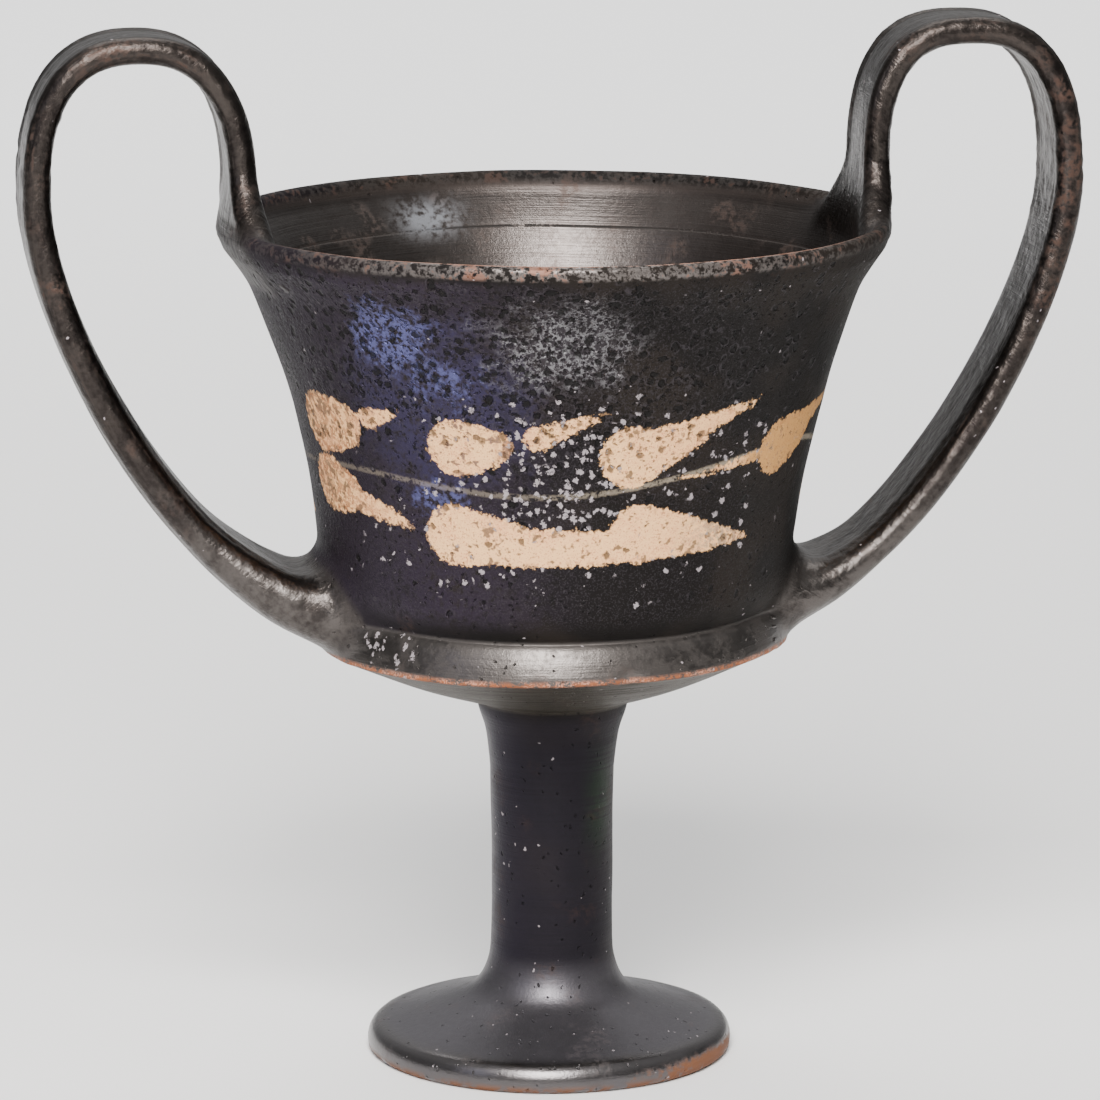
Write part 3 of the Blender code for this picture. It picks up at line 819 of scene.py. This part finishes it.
class Net:
    """The nodes of one material."""

    def __init__(self, name):
        self.material = bpy.data.materials.new(name)
        self.material.use_nodes = True
        self.nodes = self.material.node_tree.nodes
        self.shader = self.nodes["Principled BSDF"]

    def node(self, kind, settings=None, values=None):
        """Add a node of any type with its settings, then the values or links of its sockets."""
        node = self.nodes.new(kind)
        for name, value in (settings or {}).items():
            setattr(node, name, value)
        for name, value in (values or {}).items():
            self.feed(node.inputs[name], value)
        return node

    def feed(self, socket, value):
        """Give a socket a plain value or a link."""
        if isinstance(value, Value):
            value = value.socket
        if isinstance(value, bpy.types.NodeSocket):
            self.material.node_tree.links.new(value, socket)
        else:
            socket.default_value = value

    def math(self, operation, *values):
        node = self.node("ShaderNodeMath", {"operation": operation}, dict(enumerate(values)))
        return Value(self, node.outputs[0])

    def clamp(self, value):
        return self.math("MINIMUM", self.math("MAXIMUM", value, 0.0), 1.0)

    def step(self, value, start, end):
        """0 below start, 1 above end and smooth between. Start may be the larger one."""
        node = self.node("ShaderNodeMapRange", {"interpolation_type": "SMOOTHSTEP"},
                         {"Value": value, "From Min": start, "From Max": end})
        return Value(self, node.outputs[0])

    def band(self, value, start, whole, still_whole, end):
        """0 outside start and end, 1 between the two values where the band is whole, smooth between."""
        return self.step(value, start, whole) * self.step(value, end, still_whole)

    def bump_at(self, value, centre, reach):
        """1 at the centre, falling smoothly to 0 at the given reach on both sides."""
        return self.step(self.math("ABSOLUTE", value - centre), reach, 0.0)

    def noise(self, vector, scale, detail=2.0, roughness=0.5):
        node = self.node("ShaderNodeTexNoise", {}, {"Vector": vector, "Scale": scale, "Detail": detail,
                                                    "Roughness": roughness})
        return Value(self, node.outputs["Fac"])

    def shaken(self, vector, scale, amount):
        """Place moved about by noise, which gives cells ragged edges."""
        noise_node = self.node("ShaderNodeTexNoise", {}, {"Vector": vector, "Scale": scale, "Detail": 1.0})
        centred = self.node("ShaderNodeVectorMath", {"operation": "SUBTRACT"},
                            {0: noise_node.outputs["Color"], 1: (0.5, 0.5, 0.5)})
        shift = self.node("ShaderNodeVectorMath", {"operation": "SCALE"},
                          {0: centred.outputs[0], "Scale": amount * 2})
        moved = self.node("ShaderNodeVectorMath", {"operation": "ADD"}, {0: vector, 1: shift.outputs[0]})
        return moved.outputs[0]

    def cells(self, vector, scale):
        """Distance to the middle of the nearest random cell, and two random numbers of that cell's own."""
        node = self.node("ShaderNodeTexVoronoi", {}, {"Vector": vector, "Scale": scale})
        parts = self.node("ShaderNodeSeparateColor", {}, {"Color": node.outputs["Color"]})
        sockets = node.outputs["Distance"], parts.outputs[0], parts.outputs[1]
        return [Value(self, socket) for socket in sockets]

    def mix(self, share, first, second):
        """Colour that goes from the first to the second."""
        node = self.node("ShaderNodeMix", {"data_type": "RGBA"}, {0: share, 6: first, 7: second})
        return node.outputs[2]

    def attribute(self, name, output):
        node = self.node("ShaderNodeAttribute", {"attribute_name": name})
        return node.outputs[output]

    def share_of(self, name):
        """A number that the mesh keeps on its points."""
        return Value(self, self.attribute(name, "Fac"))


class Finish:
    """Colour, gloss and roughness of a surface, laid on layer by layer."""

    def __init__(self, net, first):
        self.net = net
        self.colour = first[:3] + (1.0,)
        self.shine = first[3:] + (0.0, 1.0)

    def lay(self, share, finish):
        """Lay a finish over what is there. The share runs from 0 to 1."""
        self.colour = self.net.mix(share, self.colour, finish[:3] + (1.0,))
        self.shine = self.net.mix(share, self.shine, finish[3:] + (0.0, 1.0))

    def gloss_and_roughness(self):
        """The two numbers of the shine, apart."""
        parts = self.net.node("ShaderNodeSeparateColor", {}, {"Color": self.shine})
        return Value(self.net, parts.outputs[0]), Value(self.net, parts.outputs[1])


class Surface:
    """Where a point of the cup lies, in millimetres and radians, and the noises that the finishes share."""

    def __init__(self, net):
        self.place = net.attribute("place", "Vector")
        self.strap = net.share_of("strap")
        self.inside = net.share_of("inside")
        axes = net.node("ShaderNodeSeparateXYZ", {}, {"Vector": self.place})
        self.x, self.y, self.z = (Value(net, axes.outputs[i]) for i in range(3))
        self.radius = net.math("SQRT", self.x * self.x + self.y * self.y)
        self.angle = net.math("ARCTAN2", self.x, -self.y)
        self.along = self.angle * BAND_RADIUS
        self.leftward = net.share_of("leftward")
        self.body = 1 - self.strap
        self.outside = self.body * (1 - self.inside)
        self.wall = self.outside * net.band(self.z, *WALL_BAND)
        self.large = net.noise(self.place, 0.045, 1.0)
        self.middle = net.noise(self.place, 0.16, 2.0, 0.6)
        self.small = net.noise(self.place, 0.75, 2.0, 0.6)
        self.grain = net.noise(self.place, 2.6, 1.0, 0.6)
        self.ragged = net.shaken(self.place, 0.8, 0.75)
        turned = net.node("ShaderNodeCombineXYZ", {}, {0: self.x * 0.035, 1: self.y * 0.035,
                                                       2: self.z * 1.9 + self.radius * 1.5})
        self.wheel = net.noise(turned.outputs[0], 1.0, 3.0, 0.65)
        loop = net.math("ARCTAN2", self.z - LOOP_MIDDLE[1], net.math("ABSOLUTE", self.x) - LOOP_MIDDLE[0])
        drawn = net.node("ShaderNodeCombineXYZ", {}, {0: self.y * 1.1, 1: loop * 2.2, 2: self.z * 0.05})
        self.streaks = net.noise(drawn.outputs[0], 1.0, 2.0, 0.7)
        self.smudge = net.noise(self.place, 0.10, 1.0)
        self.above_root = net.step(self.z, *UPPER_STRAP_FADE)


class Pits:
    """Pits in the gloss: large ones crowd the upper wall in front, small ones lie all over the outside.
    The rims run round the large pits, and the webs are the gloss between cells the size of small pits."""

    def __init__(self, net, at):
        pitted = net.share_of("pitted") * at.wall
        far, chance, _ = net.cells(at.ragged, 0.45)
        crowd = net.clamp(pitted * net.step(at.middle, 0.20, 0.46) + at.wall * 0.08)
        there = net.step(chance, 1 - crowd * 0.80, 1.02 - crowd * 0.80)
        large = net.step(far, 0.47, 0.24) * there
        self.rims = net.bump_at(far, 0.54, 0.10) * there
        far, chance, _ = net.cells(at.ragged, 1.00)
        self.webs = net.step(far, 0.40, 0.58)
        crowd = net.clamp(pitted * 0.45 + at.wall * net.step(at.large, 0.40, 0.62) * 0.30 + at.outside * 0.06)
        small = net.step(far, 0.42, 0.14) * net.step(chance, 1 - crowd, 1.01 - crowd)
        self.depth = net.math("MAXIMUM", large, small * 0.7)


def lay_ground(net, at, skin):
    """Black gloss as it was fired, brown and violet in places, lustrous on the stem, foot, underside and
    ledge. The violet sheen on the left of the wall, and the stem's stronger gloss on its left and green on
    its right, are iridescent gloss that is partly painted reflection.
    """
    skin.lay(net.step(at.large, 0.42, 0.62), GROUND_BROWN)
    skin.lay(at.leftward * at.outside * 0.85, GROUND_VIOLET)
    # Violet sheen on the left of the wall: iridescent gloss, partly painted reflection of the softbox.
    left = at.wall * net.bump_at(at.angle, -0.72, 0.78) * net.step(at.small + at.middle * 0.6, 0.50, 0.90)
    skin.lay(left, LEFT_SHEEN_AND_REFLECTION)
    skin.lay(at.wall * net.step(at.grain, 0.50, 0.66) * net.step(at.x, 60.0, 10.0) * 0.40, PIT_RIM)
    stem = at.outside * net.step(at.z, *STEM_FADE)
    # More violet gloss on the stem's left: partly painted reflection.
    skin.lay(stem * (0.45 + at.leftward * 0.50) * (0.6 + at.wheel * 0.6), STEM_GLOSS)
    # Green on the stem's right: iridescent gloss, partly painted reflection.
    green = net.share_of("green") * stem
    skin.lay(green * net.step(at.middle * 0.5 + at.wheel * 0.5, 0.36, 0.54), STEM_GREEN_SHEEN_AND_REFLECTION)
    foot = at.outside * net.step(at.z, *FOOT_FADE)
    skin.lay(foot * (0.70 + at.small * 0.35), FOOT_GLOSS)
    skin.lay(at.outside * net.step(at.z, *FOOT_EDGE_FADE) * (0.3 + at.middle), FOOT_EDGE_GLOSS)
    under = at.outside * net.band(at.z, *UNDERSIDE_BAND)
    skin.lay(under * (0.45 + net.step(at.wheel, 0.36, 0.60) * 0.55), UNDERSIDE_GLOSS)
    ledge = at.outside * net.band(at.z, *LEDGE_BAND)
    skin.lay(ledge * (0.70 + net.step(at.middle * 0.6 + at.small * 0.4, 0.36, 0.58) * 0.30), LEDGE_GLOSS)


def lay_inside(net, at, skin):
    """Inside of the bowl: lustrous with wheel lines, darker towards the right as painted shade, and dull
    under the lip.
    Returns where the ring is cut."""
    skin.lay(at.inside, INSIDE_DULL)
    lustre = net.step(at.wheel * 0.5 + at.small * 0.3 + at.middle * 0.2, 0.38, 0.56)
    # Painted shade: the gloss thins towards the right of the inside, so that side shows darker.
    shade = 1 - 0.65 * net.step(at.x, 22.0, 50.0)
    skin.lay(at.inside * net.step(at.z, *INSIDE_FADE) * shade * (0.45 + lustre * 0.55), INSIDE_GLOSS)
    smudge = net.step(at.smudge, 0.54, 0.68) * net.step(at.small, 0.38, 0.62)
    skin.lay(at.inside * smudge * 0.20, WORN_BROWN)
    around = net.math("ABSOLUTE", at.angle)
    stain_and_sheen = at.inside * net.bump_at(at.z, *STAIN_HEIGHT) * net.bump_at(around, *STAIN_ANGLE)
    stain_and_sheen = stain_and_sheen * net.step(at.x, 2.0, -2.0) * net.step(at.middle * 0.4 + at.small * 0.6, 0.36, 0.58)
    skin.lay(net.clamp(stain_and_sheen * 1.2), INSIDE_STAIN)
    # The cut ring is painted matt black: painted shade in the groove.
    ring = at.inside * net.bump_at(at.z, RING_HEIGHT, RING_WIDTH)
    ring = ring * net.step(at.large * 0.6 + at.small * 0.4, 0.34, 0.46)
    skin.lay(ring * 0.85, GROUND_BLACK)
    return ring


def lay_sheen_and_reflections(net, at, skin, pits):
    """Blue and silver sheen on the front of the wall, where the gloss is still whole between the pits:
    iridescent gloss, partly painted reflection of the softbox.
    """
    # Blue haze and plates: iridescent gloss, partly painted reflection of the softbox.
    wide = net.share_of("blue_haze") * at.wall
    stain_and_sheen = net.step(wide, 0.0, 0.25) * net.step(wide * 0.50 + at.middle * 0.50 + at.large * 0.20, 0.46, 0.72)
    skin.lay(stain_and_sheen * net.step(at.small, 0.30, 0.54) * 0.85, BLUE_HAZE_AND_REFLECTION)
    plates = net.share_of("blue_plates") * at.wall
    plates = net.step(plates * 0.55 + at.middle * 0.45 + at.small * 0.45, 0.70, 0.92)
    skin.lay(plates * net.step(at.small, 0.38, 0.50), BLUE_SHEEN_AND_REFLECTION)
    # Silver sheen: iridescent gloss, partly painted reflection of the softbox.
    patch = net.share_of("silver") * at.wall
    silver = net.step(patch, 0.0, 0.30) * net.step(patch * 0.50 + at.middle * 0.60, 0.46, 0.74)
    skin.lay(silver * 0.55, PIT_RIM)
    skin.lay(silver * pits.webs * net.step(at.small * 0.5 + at.grain * 0.5, 0.42, 0.56) * 0.9, SILVER_SHEEN_AND_REFLECTION)
    skin.lay(pits.rims * net.step(at.small, 0.36, 0.56) * 0.55, PIT_RIM)
    # Pits are painted matt and dark: lost gloss, and painted shade in their hollows.
    skin.lay(pits.depth * 0.92, PIT_SHADE)


def lay_straps(net, at, skin):
    """Handles: drawn lines along the straps, and brown wear along their edges."""
    lines = at.streaks * (0.15 + at.above_root * 0.40) + at.small * 0.30
    tone = net.step(lines + at.middle * (0.55 - at.above_root * 0.40), 0.36, 0.60)
    skin.lay(at.strap, STRAP_DULL)
    skin.lay(at.strap * tone, STRAP_GLOSS)
    skin.lay(at.strap * net.step(at.z, *LOWER_STRAP_FADE) * (0.20 + tone * 0.60), LEDGE_GLOSS)
    edge = at.strap * net.step(net.math("ABSOLUTE", at.y), 9.0, 11.6)
    worn = net.step(at.streaks, 0.46, 0.66) * net.step(at.large, 0.36, 0.60) * at.above_root
    worn = worn * net.step(net.math("ABSOLUTE", at.x), 74.0, 82.0)
    worn = net.math("MAXIMUM", worn, net.step(at.x, 100.0, 110.0) * net.step(at.middle, 0.40, 0.60))
    skin.lay(edge * worn * net.step(at.small, 0.38, 0.60) * 0.8, WORN_BROWN)


def lay_wear(net, at, skin):
    """Wear down to the clay on the lip, the ridge and the foot, and brown smudges. On the lip's front, bright
    speckles are partly painted glints and the pale crest line is partly painted highlight.
    """
    front = net.share_of("toward_front")
    # Bright speckles on the front of the lip's face: lustrous gloss, partly painted glints.
    face = at.outside * net.step(at.z, *LIP_FADE) * (0.12 + front * 0.88)
    skin.lay(face * net.step(at.small * 0.8 + at.grain * 0.2, 0.42, 0.58) * 0.9, LIP_GLOSS_AND_GLINTS)
    skin.lay(face * net.step(at.middle * 0.5 + at.small * 0.5, 0.55, 0.61) * 0.5, WORN_CLAY)
    # Pale line along the lip's crest, in front only: painted highlight, partly worn clay.
    crest_highlight_and_wear = at.body * net.step(at.z, *CREST_FADE) * net.step(at.radius, 72.4, 71.6)
    crest_highlight_and_wear = crest_highlight_and_wear * net.step(at.small * 0.5 + at.middle * 0.5, 0.38, 0.48) * front
    skin.lay(crest_highlight_and_wear, PALE_CLAY_AND_HIGHLIGHT)
    skin.lay(crest_highlight_and_wear * net.step(at.middle, 0.44, 0.60) * 0.6, WORN_CLAY)
    ridge = at.outside * net.bump_at(at.z, 93.4, 1.2) * net.step(at.radius, 50.3, 51.1)
    skin.lay(ridge * net.step(at.small + at.grain * 0.5, 0.60, 0.78), WORN_CLAY)
    # Pale flecks on the worn ridge: bare clay, partly painted highlight.
    skin.lay(ridge * net.step(at.middle * 0.5 + at.grain * 0.5, 0.52, 0.60) * 0.6, PALE_CLAY_AND_HIGHLIGHT)
    edge = net.step(at.radius, 37.6, 39.0) * net.step(at.z + (at.small - 0.5) * 3.0, 5.0, 3.2)
    worn = net.share_of("foot_wear") * 0.30 + at.middle * 0.4 + at.small * 0.35
    low = net.step(at.z, 2.4, 0.6) * net.step(at.middle + at.small * 0.4, 0.56, 0.76)
    skin.lay(edge * net.math("MAXIMUM", net.step(worn, 0.48, 0.62), low), FOOT_CLAY)
    smudge = net.step(at.smudge, 0.58, 0.72) * net.step(at.small, 0.40, 0.64)
    skin.lay(smudge * (1 - at.wall) * 0.25, WORN_BROWN)


def lay_leaves(net, at, skin, pits):
    """Painted leaves and vine with flaked edges. Returns how much paint is on the surface."""
    ragged = (at.small - 0.5) * 3.0 + (at.grain - 0.5) * 1.4
    edge = net.share_of("leaf_edge")
    vine_edge = net.math("ABSOLUTE", net.share_of("above_vine")) - VINE_WIDTH
    flaked = net.noise(at.place, 0.40, 2.0, 0.75)
    gap = net.bump_at(at.along, *WORN_GAP) * net.step(at.z, 138.0, 141.0)
    left = net.step(at.leftward, 0.35, 0.75)
    bare = net.step(flaked + gap * 0.16 + left * 0.06, 0.57, 0.64)
    near_edge = net.step(edge, -2.2, 0.0)
    whole = at.wall * (1 - pits.depth * 0.8)
    paint = net.step(edge + ragged * (0.35 + near_edge * 0.5), 0.30, -0.30) * (1 - bare * 0.75) * whole
    vine = net.step(vine_edge + ragged * 0.30, 0.30, -0.30) * at.wall * net.step(at.small, 0.36, 0.52)
    skin.lay(vine * (0.40 + net.step(at.along, -20.0, 30.0) * 0.40), VINE_GREY)
    skin.lay(paint, CREAM)
    skin.lay(paint * net.step(at.middle * 0.4 + at.grain * 0.6, 0.44, 0.64) * 0.8, CREAM_PINK)
    skin.lay(paint * net.step(at.along, 30.0, 36.0) * net.band(at.z, *OCHRE_BAND), OCHRE)
    thin = net.bump_at(at.along, 31.0, 16.0) * net.step(at.z, 134.0, 132.0) * net.step(at.small, 0.38, 0.56)
    skin.lay(paint * thin * 0.75, VINE_GREY)
    stained = left * net.step(at.small, 0.42, 0.58) * 0.6 + gap * net.step(at.small, 0.40, 0.56) * 0.8
    stained = stained + net.step(at.grain, 0.60, 0.70) * 0.5
    stained = stained + near_edge * net.step(at.small, 0.50, 0.62) * 0.4
    skin.lay(paint * net.clamp(stained), WORN_CLAY)
    return paint


def lay_specks(net, at, skin, paint):
    """Pale flakes, crowded among the leaves in front."""
    far, chance, second = net.cells(at.ragged, 0.64)
    torn = far + (at.grain - 0.5) * 0.7
    specks = net.step(torn, 0.46, 0.34) * net.step(chance + net.share_of("flakes") * 0.58, 1.00, 1.02)
    second = second + net.step(at.z, 80.0, 70.0) * 0.03
    strays = net.step(far, 0.22, 0.14) * net.step(second, 0.965, 0.970) * (1 - at.inside)
    skin.lay(net.math("MAXIMUM", specks, strays) * (1 - paint) * 0.75, SPECK_WHITE)


def make_gloss():
    """Worn black gloss with wheel lines, pits, sheen, bare clay on the edges and the painted leaves. The
    sheen and the lip's glints and crest line are partly painted reflection and highlight; the pits and the
    cut ring are partly painted shade.
    """
    net = Net("worn black gloss")
    at = Surface(net)
    skin = Finish(net, GROUND_BLACK)
    pits = Pits(net, at)
    lay_ground(net, at, skin)
    ring = lay_inside(net, at, skin)
    lay_sheen_and_reflections(net, at, skin, pits)
    lay_straps(net, at, skin)
    lay_wear(net, at, skin)
    paint = lay_leaves(net, at, skin, pits)
    lay_specks(net, at, skin, paint)
    turned = (1 - at.wall * 0.6) * (1 - net.step(at.z, 24.0, 12.0) * 0.5)
    height = at.wheel * 0.08 * turned + at.small * (0.05 + at.wall * 0.16 + at.strap * 0.09)
    height = height + at.grain * (0.03 + at.wall * 0.05) + at.middle * at.strap * 0.60
    height = height + at.streaks * at.strap * at.above_root * 0.10
    height = height - pits.depth * 0.60 - ring * 0.12
    relief = net.node("ShaderNodeBump", {}, {"Strength": 1.0, "Distance": MM, "Height": height})
    net.feed(net.shader.inputs["Base Color"], skin.colour)
    gloss, rough = skin.gloss_and_roughness()
    net.feed(net.shader.inputs["Metallic"], gloss)
    net.feed(net.shader.inputs["Roughness"], rough + (at.middle - 0.5) * 0.12)
    net.feed(net.shader.inputs["Normal"], relief.outputs[0])
    net.feed(net.shader.inputs["Specular IOR Level"], MATT_SHINE)
    return net.material


def make_floor():
    """Plain pale floor, wide enough to fill the view."""
    half = FLOOR_HALF
    corners = [(-half, -half, 0.0), (half, -half, 0.0), (half, half, 0.0), (-half, half, 0.0)]
    floor = new_object("studio_floor", corners, [], [(0, 1, 2, 3)])
    net = Net("pale floor")
    net.feed(net.shader.inputs["Base Color"], FLOOR_WHITE)
    net.feed(net.shader.inputs["Roughness"], 0.9)
    floor.data.materials.append(net.material)
    return floor


def softbox(name, azimuth, elevation, distance, width, height, power, colour):
    """Area light that looks at the cup. Azimuth is counted from -Y towards +X, in degrees."""
    light = bpy.data.lights.new(name, "AREA")
    light.shape = "RECTANGLE"
    light.size = width
    light.size_y = height
    light.energy = power
    light.color = colour
    around, up = math.radians(azimuth), math.radians(elevation)
    away = Vector((math.sin(around) * math.cos(up), -math.cos(around) * math.cos(up), math.sin(up)))
    obj = bpy.data.objects.new(name, light)
    obj.location = away * distance + Vector((0.0, 0.0, LIT_HEIGHT))
    obj.rotation_euler = away.to_track_quat("Z", "Y").to_euler()
    bpy.context.scene.collection.objects.link(obj)
    return obj


def light_studio():
    """Softboxes in front, behind and at both sides, a panel over the floor behind, and a pale surround."""
    for name, shape in SOFTBOXES.items():
        softbox(name, *shape)
    panel = softbox("panel over the floor", *FLOOR_PANEL)
    panel.rotation_euler = (0.0, 0.0, 0.0)
    panel.data.spread = PANEL_SPREAD
    bpy.context.scene.world = pale_surround()


def pale_surround():
    """World that is bright overhead, dim at the sides and paler behind the cup, as in a studio."""
    world = bpy.data.worlds.new("studio")
    world.use_nodes = True
    nodes, link = world.node_tree.nodes, world.node_tree.links.new
    view = nodes.new("ShaderNodeTexCoord")
    axes = nodes.new("ShaderNodeSeparateXYZ")
    overhead = nodes.new("ShaderNodeMapRange")
    overhead.interpolation_type = "SMOOTHSTEP"
    behind = nodes.new("ShaderNodeMapRange")
    for node, limits in ((overhead, OVERHEAD), (behind, BEHIND)):
        for name, value in limits.items():
            node.inputs[name].default_value = value
    both = nodes.new("ShaderNodeMath")
    link(view.outputs["Generated"], axes.inputs[0])
    link(axes.outputs["Z"], overhead.inputs["Value"])
    link(axes.outputs["Y"], behind.inputs["Value"])
    link(overhead.outputs[0], both.inputs[0])
    link(behind.outputs[0], both.inputs[1])
    link(both.outputs[0], nodes["Background"].inputs["Strength"])
    nodes["Background"].inputs["Color"].default_value = (1.0, 1.0, 1.0, 1.0)
    return world


def make_camera():
    """Camera at the photograph's place."""
    data = bpy.data.cameras.new("photograph")
    data.lens = CAMERA_LENS
    data.sensor_width = CAMERA_SENSOR
    data.shift_x = CAMERA_SHIFT
    camera = bpy.data.objects.new("photograph", data)
    camera.location = CAMERA_PLACE
    camera.rotation_euler = [math.radians(turn) for turn in CAMERA_TURN]
    bpy.context.scene.collection.objects.link(camera)
    bpy.context.scene.camera = camera


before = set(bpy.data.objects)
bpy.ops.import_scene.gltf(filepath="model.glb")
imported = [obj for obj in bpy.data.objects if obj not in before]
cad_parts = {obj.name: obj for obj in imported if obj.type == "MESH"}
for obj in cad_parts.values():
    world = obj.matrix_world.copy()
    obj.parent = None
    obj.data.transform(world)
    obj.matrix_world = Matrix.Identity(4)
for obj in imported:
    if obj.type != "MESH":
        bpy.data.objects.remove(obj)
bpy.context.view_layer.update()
make_camera()
light_studio()
make_floor()
cup = make_kantharos(make_gloss(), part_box("kantharos"))
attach(cup, "root")
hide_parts("kantharos")
